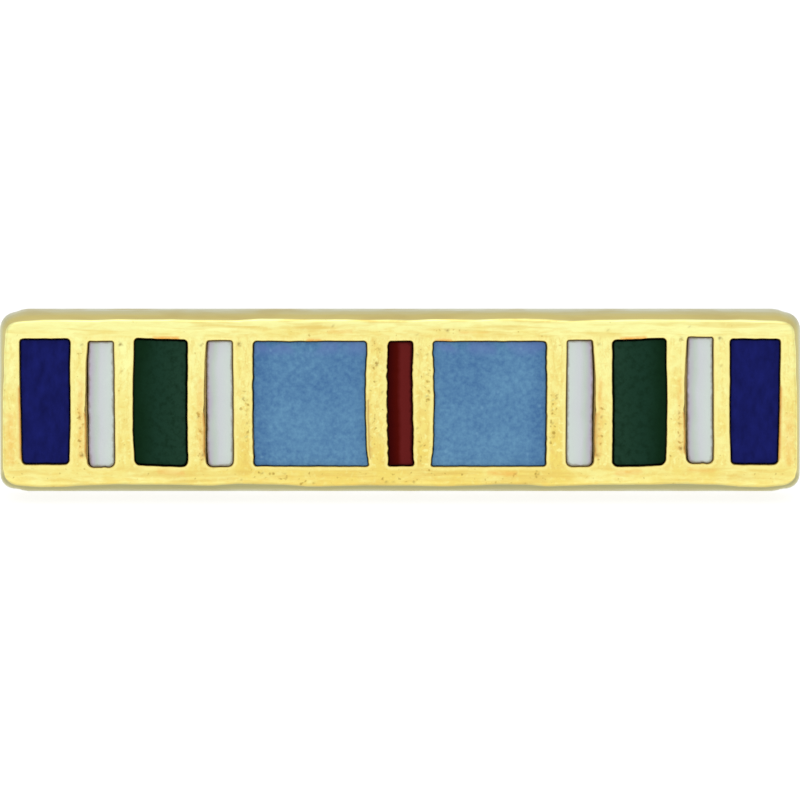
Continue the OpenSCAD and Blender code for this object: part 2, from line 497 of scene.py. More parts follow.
def strike_blank():
    """A plate with drafted sides and round corners, closed at its back, its face one polygon."""
    bpy.ops.mesh.primitive_plane_add(size=1)
    bar = named("gilt_bar")
    bar.scale = (bar_length, BAR_HEIGHT, 1)
    bpy.ops.object.transform_apply(scale=True)
    bpy.ops.object.mode_set(mode="EDIT")
    bpy.ops.mesh.select_all(action="SELECT")
    bpy.ops.mesh.bevel(offset=BACK_CORNER_R, segments=8, affect="VERTICES")
    pick(bar, "faces", lambda face: True)
    bpy.ops.mesh.inset(thickness=SIDE_DRAFT, depth=BAR_THICKNESS)
    pick(bar, "edges", lambda edge: max(v.co.z for v in edge.verts) < 1e-4)
    bpy.ops.mesh.edge_face_add()
    pick(bar, "edges", lambda edge: max(v.co.z for v in edge.verts) < 1e-4)
    bpy.ops.mesh.bevel(offset=BACK_EDGE_R, segments=2, affect="EDGES")
    pick(bar, "edges", lambda edge: min(v.co.z for v in edge.verts) > BAR_THICKNESS - 1e-4)
    bpy.ops.mesh.bevel(offset=FACE_EDGE_R, segments=3, affect="EDGES")
    return bar


def is_face(face):
    """Does a face lie on the flat front of the bar?"""
    return face.normal.z > 0.999 and face.calc_center_median().z > BAR_THICKNESS - 1e-4


def sink_cells(bar):
    """Cuts the face along the cells' sides and ends, sinks the cells and rounds their corners and rims."""
    show_only(bar, is_face)
    cut_across([cell[side] for cell in cells for side in ("left", "right")], "x")
    cut_across([CELL_BOTTOM, CELL_TOP], "y")

    def in_a_cell(face):
        middle = face.calc_center_bounds()
        return any(inside_cell(cell, middle.x, middle.y) > 0 for cell in cells)

    def is_cell_corner(edge):
        a, b = (v.co for v in edge.verts)
        return abs(a.z - b.z) > CELL_DEPTH / 2 and (a.xy - b.xy).length < 1e-4

    def is_rim(edge):
        if min(v.co.z for v in edge.verts) < BAR_THICKNESS - 1e-4:
            return False
        return sum(abs(face.normal.z) < 0.5 for face in edge.link_faces) == 1

    pick(bar, "faces", in_a_cell)
    extrude(-CELL_DEPTH)
    for end, which in ((1, 0), (-1, 1)):
        for radius in sorted({cell["wander"]["corners"][which] for cell in cells}):
            alike = [cell for cell in cells if cell["wander"]["corners"][which] == radius]
            pick(bar, "edges", lambda edge: is_cell_corner(edge) and middle_of(edge).y * end > 0 and any(
                cell["left"] - 0.01 < middle_of(edge).x < cell["right"] + 0.01 for cell in alike))
            bpy.ops.mesh.bevel(offset=radius, segments=4, affect="EDGES")
    bpy.ops.mesh.reveal(select=False)
    show_only(bar, lambda face: abs(face.calc_center_bounds().y) < face_half_y - FACE_EDGE_R * 2)
    pick(bar, "edges", is_rim)
    bpy.ops.mesh.bevel(offset=CELL_RIM_R, segments=3, affect="EDGES")


def refine_face(bar):
    """Cuts the face, its rims and the bar's sides into a fine grid, and leaves the floors and the back."""

    def is_floor_or_wall(face):
        middle = face.calc_center_bounds()
        return (any(inside_cell(cell, middle.x, middle.y) > -1e-3 for cell in cells)
                and middle.z < BAR_THICKNESS - CELL_RIM_R * 1.5)

    show_only(bar, lambda face: face.normal.z > -0.5 and not is_floor_or_wall(face))
    sides = [cell[side] for cell in cells for side in ("left", "right")]
    stops = [-bar_length / 2, -face_half_x, *sides, face_half_x, bar_length / 2]
    cut_across(cut_lines(stops, GRID_STEP), "x")
    cut_across(cut_lines([-face_half_y, CELL_BOTTOM, CELL_TOP, face_half_y], GRID_STEP), "y")
    show_only(bar, lambda face: face.normal.z > 0.3 and not is_floor_or_wall(face))
    bpy.ops.mesh.select_all(action="SELECT")
    bpy.ops.mesh.subdivide(number_cuts=1)


def open_pits(bar):
    """Opens each pit round the vertex of the face that lies nearest to its place."""
    show_only(bar, is_face)
    for radius in sorted({r for _, _, r in PITS}):
        mesh = bmesh.from_edit_mesh(bar.data)
        free = [v for v in mesh.verts if not v.hide and all(is_face(face) for face in v.link_faces)]
        places = [Vector((x, y, BAR_THICKNESS)) for x, y, r in PITS if r == radius]
        centres = [min(free, key=lambda v: (v.co - place).length).co.copy() for place in places]
        # A bevel opens the vertex into a round face of 0.7 of the pit, and an inset sinks its middle
        pick(bar, "verts", lambda v: any((v.co - centre).length < 1e-5 for centre in centres))
        bpy.ops.mesh.bevel(offset=radius * 0.7, segments=2, affect="VERTICES")
        pick(bar, "faces", lambda face: any(
            (face.calc_center_median() - centre).length < radius / 4 for centre in centres))
        bpy.ops.mesh.inset(thickness=radius * 0.25, depth=-radius * 0.4)


def keep_marks(bar):
    """Keeps, for the materials, where each vertex lies on the flat face and how it is marked there."""
    rows = []
    for v in bar.data.vertices:
        x, y, z = v.co
        nearest = max(cells, key=lambda cell: inside_cell(cell, x, y))
        marks = marks_at(x, y) if z > BAR_THICKNESS - FACE_EDGE_R * 2 else (0, 0, 0)
        rows.append((-inside_cell(nearest, x, y), inside(x, y, face_half_x, face_half_y, FACE_CORNER_R),
                     *marks, BROWN_FLUX.get(nearest["colour"], 0)))
    names = ("from_rim", "from_outline", "brown", "orange", "specked", "brown_flux")
    for name, values in zip(names, zip(*rows)):
        write_on_points(bar, name, values)


def wear_face(bar):
    """Moves the bar's vertices to their struck and polished places."""
    for v in bar.data.vertices:
        x, y, z = v.co
        edge = inside(x, y, face_half_x, face_half_y, FACE_CORNER_R)
        height = min(z / (BAR_THICKNESS - FACE_EDGE_R), 1)
        new_x, new_y = struck(x, y)
        near_end = clamped(1 - (face_half_x - abs(x)) / END_REACH)
        new_x += math.copysign(1, x) * between(END_EDGE, y) * near_end * height
        near_edge = clamped(1 - edge / (face_half_y - CELL_TOP)) * height
        if y < CELL_BOTTOM:
            new_y += between(LOWER_EDGE, x) * near_edge
        if y > CELL_TOP:
            new_y += between(UPPER_EDGE, x) * near_edge
        new_y += waver(0.012, x * 1.7, math.copysign(9.0, y), 2.2) * near_edge
        # The back's long edges fall from 1.5 mm off the bar's middle line on, and nothing within 1.3 mm does
        near_long_side = clamped((abs(y) - 1.3) / 0.2)
        new_y -= math.copysign(between(BACK_FALL, abs(x)), y) * near_long_side * (1 - height)
        if edge < 0 and y < 0:
            fuller = (inside(x, y, bar_length / 2, BAR_HEIGHT / 2, LOWER_BACK_CORNER_R)
                      - inside(x, y, bar_length / 2, BAR_HEIGHT / 2, BACK_CORNER_R)) * (1 - height)
            outwards = Vector((x - math.copysign(face_half_x - FACE_CORNER_R, x),
                               y + face_half_y - FACE_CORNER_R)).normalized()
            new_x += outwards.x * fuller
            new_y += outwards.y * fuller
        crown = CROWN_DROP * clamped(1 - edge / CROWN_REACH) ** 2
        ripple = waver(0.006, x * 0.9, y * 1.1, 7.0) + waver(0.002, x * 2.6, y * 2.2, 1.0)
        v.co = (new_x, new_y, z - (crown - ripple * clamped(edge / RIPPLE_FADE)) * height)


def make_bar():
    bar = strike_blank()
    sink_cells(bar)
    refine_face(bar)
    open_pits(bar)
    face_outwards()
    bpy.ops.object.mode_set(mode="OBJECT")
    finish_bar(bar)
    keep_marks(bar)
    wear_face(bar)
    bpy.ops.object.shade_smooth_by_angle(angle=math.radians(40))
    return bar


def finish_bar(bar):
    """Gives the face, the sides, the back and the cells of the bar their own finishes."""
    for finish in (polished_gilt(), satin_gilt(), matte_gilt(), burnt_seam()):
        bar.data.materials.append(finish)
    face_slot, side_slot, back_slot, seam_slot = range(4)
    for face in bar.data.polygons:
        middle = face.center
        if face.normal.z < -0.5:
            face.material_index = back_slot
        elif any(inside_cell(cell, middle.x, middle.y) > -1e-3 for cell in cells):
            face.material_index = seam_slot
        elif inside(middle.x, middle.y, face_half_x, face_half_y, FACE_CORNER_R) < -0.01:
            face.material_index = side_slot
        else:
            face.material_index = face_slot


# The enamel fills


def make_fill(cell):
    """One block of enamel, as uneven as the cell it was fired into, with a softly rounded upper edge."""
    seam = cell["wander"]["seam"]
    left, right = cell["left"] + seam, cell["right"] - seam
    bottom, top = CELL_BOTTOM + seam, CELL_TOP - seam
    top_r, foot_r = (radius - seam for radius in cell["wander"]["corners"])
    floor_z = BAR_THICKNESS - CELL_DEPTH + FILL_GAP
    surface_z = BAR_THICKNESS - FILL_SINK
    bpy.ops.mesh.primitive_plane_add(size=1)
    fill = named(cell["node"].replace("enamel", "fired"))
    fill.scale = (right - left, top - bottom, 1)
    fill.location = ((left + right) / 2, (bottom + top) / 2, floor_z)
    bpy.ops.object.transform_apply(location=True, scale=True)
    bpy.ops.object.mode_set(mode="EDIT")
    for place, radius in ((top, top_r), (bottom, foot_r)):
        pick(fill, "verts", lambda v: abs(v.co.y - place) < 1e-5)
        bpy.ops.mesh.bevel(offset=radius, segments=4, affect="VERTICES")
    bpy.ops.mesh.select_all(action="SELECT")
    extrude(surface_z - floor_z)
    pick(fill, "edges", lambda edge: min(v.co.z for v in edge.verts) > surface_z - 1e-4)
    bpy.ops.mesh.bevel(offset=FILL_EDGE_R, segments=3, affect="EDGES")
    face_outwards()
    show_only(fill, lambda face: face.normal.z > -0.5)
    cut_across(cut_lines([left, right], GRID_STEP / 2), "x")
    cut_across(cut_lines([bottom, top], GRID_STEP / 2), "y")
    bpy.ops.mesh.reveal(select=False)
    bpy.ops.object.mode_set(mode="OBJECT")
    across, edges = [], []
    half_x, half_y = (right - left) / 2, (top - bottom) / 2
    for v in fill.data.vertices:
        x, y, z = v.co
        share = (x - left) / (right - left)
        share = share if cell["first_side"] < 0 else 1 - share
        corner_r = top_r if y > 0 else foot_r
        across.append(share)
        edges.append(inside(x - left - half_x, y - bottom - half_y, half_x, half_y, corner_r))
        if z > surface_z - FILL_EDGE_R:
            z += waver(0.006, x * 1.3, y * 1.3, 4.0) - 0.003
        narrowed = -cell["first_side"] * between(cell["wander"]["wider"], y) * max(1 - 2 * share, 0)
        new_x, new_y = struck(x, y)
        v.co = (new_x + narrowed, new_y, z)
    write_on_points(fill, "across", across)
    write_on_points(fill, "from_edge", edges)
    fill.data.materials.append(ENAMELS[cell["colour"]])
    bpy.ops.object.shade_smooth_by_angle(angle=math.radians(50))
    stand_at_rest(fill, cell["node"])


# The post


def make_post():
    """Foot, solder, shank and tip, drawn out of one disc behind the bar."""
    bpy.ops.mesh.primitive_circle_add(vertices=64, radius=FOOT_R, fill_type="NGON",
                                      location=(0, 0, POST_ROOT))
    post = named("soldered_post")
    bpy.ops.object.transform_apply(location=True)
    bpy.ops.object.mode_set(mode="EDIT")
    bpy.ops.mesh.select_all(action="SELECT")
    bpy.ops.mesh.flip_normals()
    extrude(-POST_ROOT - FOOT_THICKNESS)

    def end_only():
        pick(post, "faces", lambda face: face.calc_center_median().xy.length < 1e-3 and face.normal.z < -0.9)

    def draw_in(narrower, deeper):
        end_only()
        bpy.ops.mesh.inset(thickness=narrower, depth=deeper)

    draw_in(FOOT_R - post_r - SOLDER_FILLET, 0)
    for i in range(FILLET_STEPS):
        a, b = (math.pi / 2 * j / FILLET_STEPS for j in (i, i + 1))
        draw_in(SOLDER_FILLET * (math.sin(b) - math.sin(a)), SOLDER_FILLET * (math.cos(a) - math.cos(b)))
    end_only()
    extrude(-free_length)
    draw_in(post_r - TIP_END_R, TIP_LENGTH)

    def ring(z, r):
        pick(post, "edges", lambda edge: all(
            abs(v.co.z + z) < 1e-3 and abs(v.co.xy.length - r) < 0.01 for v in edge.verts))

    for z, r, softness in ((FOOT_THICKNESS, FOOT_R, FOOT_EDGE_R), (shank_length, post_r, TIP_SHOULDER_R),
                           (shank_length + TIP_LENGTH, TIP_END_R, TIP_EDGE_R)):
        ring(z, r)
        bpy.ops.mesh.bevel(offset=softness, segments=3, affect="EDGES")
    face_outwards()
    bpy.ops.object.mode_set(mode="OBJECT")
    post.data.materials.append(drawn_gilt_wire())
    bpy.ops.object.shade_smooth_by_angle(angle=math.radians(40))
    return post


# Materials


def srgb(code):
    """Turns a colour such as #FFCC00 into the linear colour that the shaders use."""
    parts = [int(code[i:i + 2], 16) / 255 for i in (1, 3, 5)]
    return [c / 12.92 if c <= 0.04045 else ((c + 0.055) / 1.055) ** 2.4 for c in parts] + [1.0]


def add_node(tree, kind, links=None, **settings):
    """Adds a node with its settings. An input may be a value, a colour code, an output or a whole node."""
    node = tree.nodes.new("ShaderNode" + kind)
    for name, value in settings.items():
        setattr(node, name, value)
    for place, value in (links or {}).items():
        if isinstance(value, bpy.types.Node):
            # An attribute's number and the colour of a colour mix come third. What else is used comes first.
            third = value.bl_idname == "ShaderNodeAttribute" or getattr(value, "data_type", "") == "RGBA"
            value = value.outputs[2 if third else 0]
        if isinstance(value, bpy.types.NodeSocket):
            tree.links.new(value, node.inputs[place])
        else:
            node.inputs[place].default_value = srgb(value) if isinstance(value, str) else value
    return node


def set_stops(ramp, bands):
    """Gives a colour ramp its stops, from (position, colour) pairs in their order."""
    stops = ramp.color_ramp.elements
    for stop, (position, colour) in zip(stops, (bands[0], bands[-1])):
        stop.position = position
        stop.color = srgb(colour)
    for position, colour in bands[1:-1]:
        stops.new(position).color = srgb(colour)


def empty_tree(owner):
    """The node tree of a new material or world, cleared."""
    owner.use_nodes = True
    owner.node_tree.nodes.clear()
    return owner.node_tree


def new_material(name):
    """An empty material, what adds its nodes, and the place on the pin in millimetres, as it lies face up."""
    material = bpy.data.materials.new(name)
    add = partial(add_node, empty_tree(material))
    place = add("Mapping", {
        "Vector": add("TexCoord").outputs["Object"], "Location": back_middle,
        "Rotation": (math.pi / 2 - lean, 0, 0), "Scale": (MM, MM, MM)}, vector_type="TEXTURE")
    return material, add, place


def coated(material, inputs, relief=None):
    """Finishes a material with its shader, over a relief of (height, strength, depth in millimetres)."""
    add = partial(add_node, material.node_tree)
    if relief:
        height, strength, depth = relief
        bump = add("Bump", {"Height": height, "Strength": strength, "Distance": depth * MM})
        inputs = {**inputs, "Normal": bump}
    add("OutputMaterial", {"Surface": add("BsdfPrincipled", inputs)})
    return material


def polished_gilt():
    """Gold-plated brass, wheel-polished: pale lemon, warmer and streaked where the wheel has dragged."""
    material, add, place = new_material("gilt_brass_polished")
    at = add("SeparateXYZ", {0: place})
    outwards, away = (add("Math", {0: at.outputs[axis]}, operation="ABSOLUTE") for axis in "XY")
    specked, from_rim, orange, brown, from_outline = (
        add("Attribute", attribute_name=name)
        for name in ("specked", "from_rim", "orange", "brown", "from_outline"))
    on_rail = add("MapRange", {
        "Value": away, "From Min": 1.34, "From Max": 1.46}, interpolation_type="SMOOTHSTEP")
    # Rails: streaks of about 1.1 mm by 0.1 mm, left by the wheel along the bar and a little downwards
    rail_place = add("Mapping", {
        "Vector": place, "Rotation": (0, 0, math.radians(3)), "Scale": (0.9, 9.0, 1.0)})
    rail_streaks = add("TexNoise", {
        "Vector": rail_place, "Scale": 1.0, "Detail": 2.0, "Roughness": 0.5, "Distortion": 0.4})
    # Ribs: short upright streaks, about 0.3 mm by 0.09 mm
    rib_place = add("Mapping", {"Vector": place, "Scale": (11.0, 3.4, 1.0)})
    rib_streaks = add("TexNoise", {
        "Vector": rib_place, "Scale": 1.0, "Detail": 4.0, "Roughness": 0.65, "Distortion": 0.3})
    streaks = add("Mix", {"Factor": on_rail, 2: rib_streaks, 3: rail_streaks})
    # Clouds of warmer and paler plating, about 0.6 mm across, over a painted reflection that is palest on the
    # upper rail and towards both ends
    clouds = add("TexNoise", {"Vector": place, "Scale": 1.6, "Detail": 3.0, "Roughness": 0.55})
    paleness = add("MapRange", {
        "Value": at.outputs["Y"], "From Min": -1.6, "From Max": 1.5, "To Min": 0.10, "To Max": 0.62})
    # A painted highlight lightens the last 0.15 mm by the long edges, most of all by the upper one
    running = add("MapRange", {
        "Value": at.outputs["Y"], "From Min": -1.6, "From Max": 1.5, "To Min": 0.06, "To Max": 0.42})
    runs_off = add("MapRange", {"Value": away, "From Min": 1.52, "From Max": 1.68, "To Max": running})
    smoother = add("MapRange", {
        "Value": outwards, "From Min": 2.8, "From Max": 4.8, "To Max": 0.3}, interpolation_type="SMOOTHSTEP")
    paler = add("Math", {0: paleness, 1: smoother}, operation="ADD")
    paler = add("Math", {0: paler, 1: runs_off}, operation="ADD")
    clouded = add("Math", {0: clouds, 1: -0.5}, operation="ADD")
    pale = add("Math", {0: clouded, 1: 1.5, 2: paler}, operation="MULTIPLY_ADD")
    # Planished blots, about 0.15 mm across, that are plainest towards the pin's middle. The wheel has drawn
    # those of the rails out to about 0.3 mm by 0.09 mm.
    round_blots = add("TexNoise", {
        "Vector": place, "Scale": 6.5, "Detail": 3.0, "Roughness": 0.6, "Distortion": 0.6})
    drawn_place = add("Mapping", {"Vector": place, "Scale": (3.2, 11.0, 1.0)})
    drawn_blots = add("TexNoise", {
        "Vector": drawn_place, "Scale": 1.0, "Detail": 3.0, "Roughness": 0.6, "Distortion": 0.4})
    blots = add("Mix", {"Factor": on_rail, 2: round_blots, 3: drawn_blots})
    blotted = add("MapRange", {"Value": blots, "From Min": 0.44, "From Max": 0.66, "To Max": 0.85})
    blot_share = add("MapRange", {
        "Value": paler, "From Min": 0.1, "From Max": 1.1, "To Min": 0.85, "To Max": 0.2})
    blotted = add("Math", {0: blotted, 1: blot_share}, operation="MULTIPLY")
    # The wheel's streaks are plainest towards the pin's middle
    drag = add("MapRange", {"Value": smoother, "From Max": 0.3, "To Min": 0.75, "To Max": 0.56})
    dragged = add("MapRange", {"Value": streaks, "From Min": 0.48, "From Max": 0.72, "To Max": drag})
    # Flecks of bare, darker metal, about 0.1 mm across, thickest where the casting skin shows,
    # and bright painted glints of the same size, mostly on the ribs
    flecks = add("TexNoise", {"Vector": place, "Scale": 10.0, "Detail": 1.0, "Roughness": 0.4})
    thickened = add("Math", {0: specked, 1: 0.15, 2: flecks}, operation="MULTIPLY_ADD")
    thinned = add("Math", {0: paler, 1: -0.08, 2: thickened}, operation="MULTIPLY_ADD")
    flecked = add("MapRange", {"Value": thinned, "From Min": 0.66, "From Max": 0.8, "To Max": 0.8})
    catching = add("MapRange", {"Value": on_rail, "To Min": 0.7, "To Max": 0.25})
    caught = add("MapRange", {
        "Value": flecks, "From Min": 0.28, "From Max": 0.42, "To Min": catching, "To Max": 0.0})
    # The rims that stand round the cells carry a cream painted highlight, 0.05 mm wide, here and there.
    # Their lips, where the metal turns down into the cell, carry a brown painted shade.
    on_rim = add("MapRange", {
        "Value": from_rim, "From Min": 0.045, "From Max": 0.10, "To Min": 1.0, "To Max": 0.0})
    burnished = add("MapRange", {
        "Value": clouds, "From Min": 0.3, "From Max": 0.55, "To Min": 1.0, "To Max": 0.5})
    on_rim = add("Math", {0: on_rim, 1: burnished}, operation="MULTIPLY")
    on_lip = add("MapRange", {
        "Value": from_rim, "From Min": 0.004, "From Max": 0.024, "To Min": 0.9, "To Max": 0.0})
    # Heat tints, broken up in patches of about 0.2 mm
    patches = add("MapRange", {
        "Value": blots, "From Min": 0.35, "From Max": 0.55, "To Min": 0.65, "To Max": 1.0})
    oranged = add("Math", {0: orange, 1: patches}, operation="MULTIPLY")
    # Painted shade turns the outline as olive as the sides: on the bevel at the top and the ends, over 0.09
    # mm at the foot
    soft_reach = add("MapRange", {
        "Value": at.outputs["Y"], "From Min": -1.72, "From Max": -1.6, "To Min": 0.09, "To Max": 0.01})
    ragged = add("Math", {0: blots, 1: 0.08, 2: from_outline}, operation="MULTIPLY_ADD")
    olive = add("MapRange", {"Value": ragged, "From Max": soft_reach, "To Min": 1.0, "To Max": 0.0})
    # All of them lie over the clouded plating, each over the ones before it
    colour = add("Mix", {"Factor": pale, "A": "#F5DE74", "B": "#FFFEAD"}, data_type="RGBA")
    for share, code in ((blotted, "#F0D16C"), (dragged, "#E9CA6A"), (flecked, "#B8973F"), (caught, "#FFFBA6"),
                        (on_rim, "#FFF49F"), (on_lip, "#A67F30"), (oranged, "#F4AE52"), (brown, "#8A662A"),
                        (olive, "#C2B06A")):
        colour = add("Mix", {"Factor": share, "A": colour, "B": code}, data_type="RGBA")
    dull = add("MapRange", {
        "Value": streaks, "From Min": 0.3, "From Max": 0.75, "To Min": 0.30, "To Max": 0.46})
    height = add("Math", {0: streaks, 1: clouds}, operation="ADD")
    return coated(material, {"Base Color": colour, "Metallic": 1.0, "Roughness": dull}, (height, 0.6, 0.012))


def satin_gilt():
    """Thin gold over the filed sides: duller than the face, with a painted reflection of the white
    surroundings that turns it greyer and near white towards the back.

    The lower side, which stands on things, carries a dull olive painted shade for the shaded floor under the
    pin that it mirrors, and both ends carry it thinly.
    """
    material, add, place = new_material("gilt_brass_satin")
    at = add("SeparateXYZ", {0: place})
    # File marks along the bar, about 0.08 mm apart
    file_place = add("Mapping", {"Vector": place, "Scale": (0.8, 0.8, 12.0)})
    file_marks = add("TexNoise", {"Vector": file_place, "Scale": 1.0, "Detail": 3.0, "Roughness": 0.6})
    # From the back to the face the colour runs from near white to gold: a painted reflection of the white
    # surroundings
    wavering = add("Math", {0: file_marks, 1: 0.5, 2: at.outputs["Z"]}, operation="MULTIPLY_ADD")
    fading = add("ValToRGB", {0: wavering})
    set_stops(fading, [(0.3, "#F9F8F9"), (0.62, "#E8DFC1"), (1.0, "#ECD998")])
    # Warmer clouds, about 1 mm long, where the plating has kept more of its copper
    clouds = add("TexNoise", {"Vector": place, "Scale": 0.9, "Detail": 2.0, "Roughness": 0.6})
    warmer = add("MapRange", {"Value": clouds, "From Min": 0.45, "From Max": 0.7, "To Max": 0.55})
    warmed = add("Mix", {"Factor": warmer, "A": fading, "B": "#DDC58A"}, data_type="RGBA")
    # The painted shade lies over the lower side as a dull olive film, thickest under the face, and evenly but
    # thinly over both ends
    under = add("MapRange", {
        "Value": at.outputs["Y"], "From Min": -1.64, "From Max": -1.44, "To Min": 1.0, "To Max": 0.0})
    thick = add("MapRange", {"Value": at.outputs["Z"], "From Min": 0.15, "From Max": 0.75, "To Min": 0.45})
    film = add("Math", {0: under, 1: thick}, operation="MULTIPLY")
    outwards = add("Math", {0: at.outputs["X"]}, operation="ABSOLUTE")
    at_ends = add("MapRange", {"Value": outwards, "From Min": 8.4, "From Max": 8.6, "To Max": 0.42})
    filmed = add("Math", {0: film, 1: at_ends}, operation="MAXIMUM")
    dulled = add("Mix", {"Factor": filmed, "A": warmed, "B": "#B3AE81"}, data_type="RGBA")
    bright = add("MapRange", {"Value": filmed, "To Min": 1.0, "To Max": 0.35})
    # The tint keeps the sides from turning white where they are seen at a low angle
    return coated(material, {
        "Base Color": dulled, "Metallic": bright, "Roughness": 0.42, "Specular IOR Level": 0.0,
        "Specular Tint": "#DDE1B5"}, (file_marks, 0.5, 0.01))


def matte_gilt():
    """Gold over the back as the press left it: even, finely grained and without polish."""
    material, add, place = new_material("gilt_brass_matte")
    # Grain of the die's back, about 0.08 mm across, and clouds about 1.2 mm across
    grain = add("TexNoise", {"Vector": place, "Scale": 12.0, "Detail": 3.0, "Roughness": 0.6})
    clouds = add("TexNoise", {"Vector": place, "Scale": 0.8, "Detail": 2.0, "Roughness": 0.5})
    base = add("Mix", {"Factor": clouds, "A": "#DDBF62", "B": "#F0DD8A"}, data_type="RGBA")
    return coated(material, {"Base Color": base, "Metallic": 1.0, "Roughness": 0.5}, (grain, 0.7, 0.02))


def drawn_gilt_wire():
    """Gold over drawn wire and a pressed foot: brighter than the back, with fine rings round the shank."""
    material, add, place = new_material("gilt_brass_wire")
    # Turning and plating rings, about 0.1 mm apart along the post
    ring_place = add("Mapping", {"Vector": place, "Scale": (1.0, 1.0, 9.0)})
    rings = add("TexNoise", {"Vector": ring_place, "Scale": 1.0, "Detail": 3.0, "Roughness": 0.6})
    base = add("Mix", {"Factor": rings, "A": "#E3C568", "B": "#F6E58F"}, data_type="RGBA")
    return coated(material, {"Base Color": base, "Metallic": 1.0, "Roughness": 0.3}, (rings, 0.5, 0.012))


def burnt_seam():
    """A cell's wall and floor, coloured dark as painted shade in the seam: a matt line round each fill,
    browner on white.
    """
    material, add, place = new_material("brass_burnt_in_cell")
    # The dark colour varies in spots about 0.1 mm across
    spots = add("TexNoise", {"Vector": place, "Scale": 9.0, "Detail": 3.0, "Roughness": 0.6})
    black = add("Mix", {"Factor": spots, "A": "#1E150C", "B": "#4A3818"}, data_type="RGBA")
    brown = add("Mix", {"Factor": spots, "A": "#9A7C3C", "B": "#DCC078"}, data_type="RGBA")
    brown_flux = add("Attribute", attribute_name="brown_flux")
    base = add("Mix", {"Factor": brown_flux, "A": black, "B": brown}, data_type="RGBA")
    return coated(material, {"Base Color": base, "Roughness": 0.8, "Specular IOR Level": 0.1})


def opaque_enamel(name, pattern, edge_colour, first_width, second_width):
    """Opaque fired enamel, stoned level with the metal and left satin, with a painted shade just inside its
    edge.
    """
    material, add, place = new_material(name)
    from_edge, across = (add("Attribute", attribute_name=kept) for kept in ("from_edge", "across"))
    # The painted shade at the edge wavers around half the widths, in millimetres, that it has along the
    # fill's two sides
    widest = add("MapRange", {"Value": across, "To Min": first_width, "To Max": second_width})
    wavering = add("TexNoise", {"Vector": place, "Scale": 7.0, "Detail": 2.0})
    reach = add("Math", {0: wavering, 1: widest}, operation="MULTIPLY")
    burnt = add("MapRange", {"Value": from_edge, "From Max": reach, "To Min": 0.85, "To Max": 0.0},
                interpolation_type="SMOOTHSTEP")
    edged = add("Mix", {"Factor": burnt, "A": pattern(add, place), "B": edge_colour}, data_type="RGBA")
    # Stoning leaves a fine grain, drawn at 0.05 mm so that it shows, over ripples of about 0.5 mm
    grain = add("TexNoise", {"Vector": place, "Scale": 20.0, "Detail": 2.0})
    ripples = add("TexNoise", {"Vector": place, "Scale": 2.0, "Detail": 1.0})
    height = add("Math", {0: ripples, 1: 4.0, 2: grain}, operation="MULTIPLY_ADD")
    return coated(material, {"Base Color": edged, "Roughness": 0.38, "Specular IOR Level": 0.015},
                  (height, 0.5, 0.008))


def banded(add, place, wandering, bands):
    """Upright bands of colour from a fill's first side to its second, which wander in clouds of 0.4 mm."""
    across = add("Attribute", attribute_name="across")
    cloud_place = add("Mapping", {"Vector": place, "Scale": (2.5, 1.2, 1.0)})
    clouds = add("TexNoise", {"Vector": cloud_place, "Scale": 1.0, "Detail": 2.0})
    shifted = add("Math", {0: clouds, 1: -0.5}, operation="ADD")
    share = add("Math", {0: shifted, 1: wandering, 2: across}, operation="MULTIPLY_ADD")
    ramp = add("ValToRGB", {0: share})
    set_stops(ramp, bands)
    return ramp


def navy_clouds(add, place):
    """Deep navy with soft clouds, about 0.2 mm wide and twice as high, that hardly show."""
    cloud_place = add("Mapping", {"Vector": place, "Scale": (5.0, 2.5, 1.0)})
    clouds = add("TexNoise", {"Vector": cloud_place, "Scale": 1.0, "Detail": 4.0, "Roughness": 0.65})
    return add("Mix", {"Factor": clouds, "A": "#0B0C35", "B": "#1F2576"}, data_type="RGBA")


def white_bloom(add, place):
    """Grey-white: darker and lavender along its first side, a painted shade from the cell's wall, then
    faintly green and whiter.
    """
    bands = [(0.05, "#B9AFC2"), (0.3, "#BFCBC1"), (0.5, "#CDD1D4"), (0.88, "#D0DBD5")]
    return banded(add, place, 0.4, bands)


def green_depth(add, place):
    """Bottle green: darkest near its first side, a painted shade from the cell's wall, and mottled in blots
    of 0.15 mm.
    """
    bands = banded(add, place, 0.3, [(0.10, "#0F2A17"), (0.42, "#193628"), (0.95, "#203D2E")])
    blots = add("TexNoise", {"Vector": place, "Scale": 7.0, "Detail": 3.0, "Roughness": 0.65})
    blot = add("MapRange", {"Value": blots, "From Min": 0.45, "From Max": 0.75, "To Max": 0.7})
    return add("Mix", {"Factor": blot, "A": bands, "B": "#0C2414"}, data_type="RGBA")


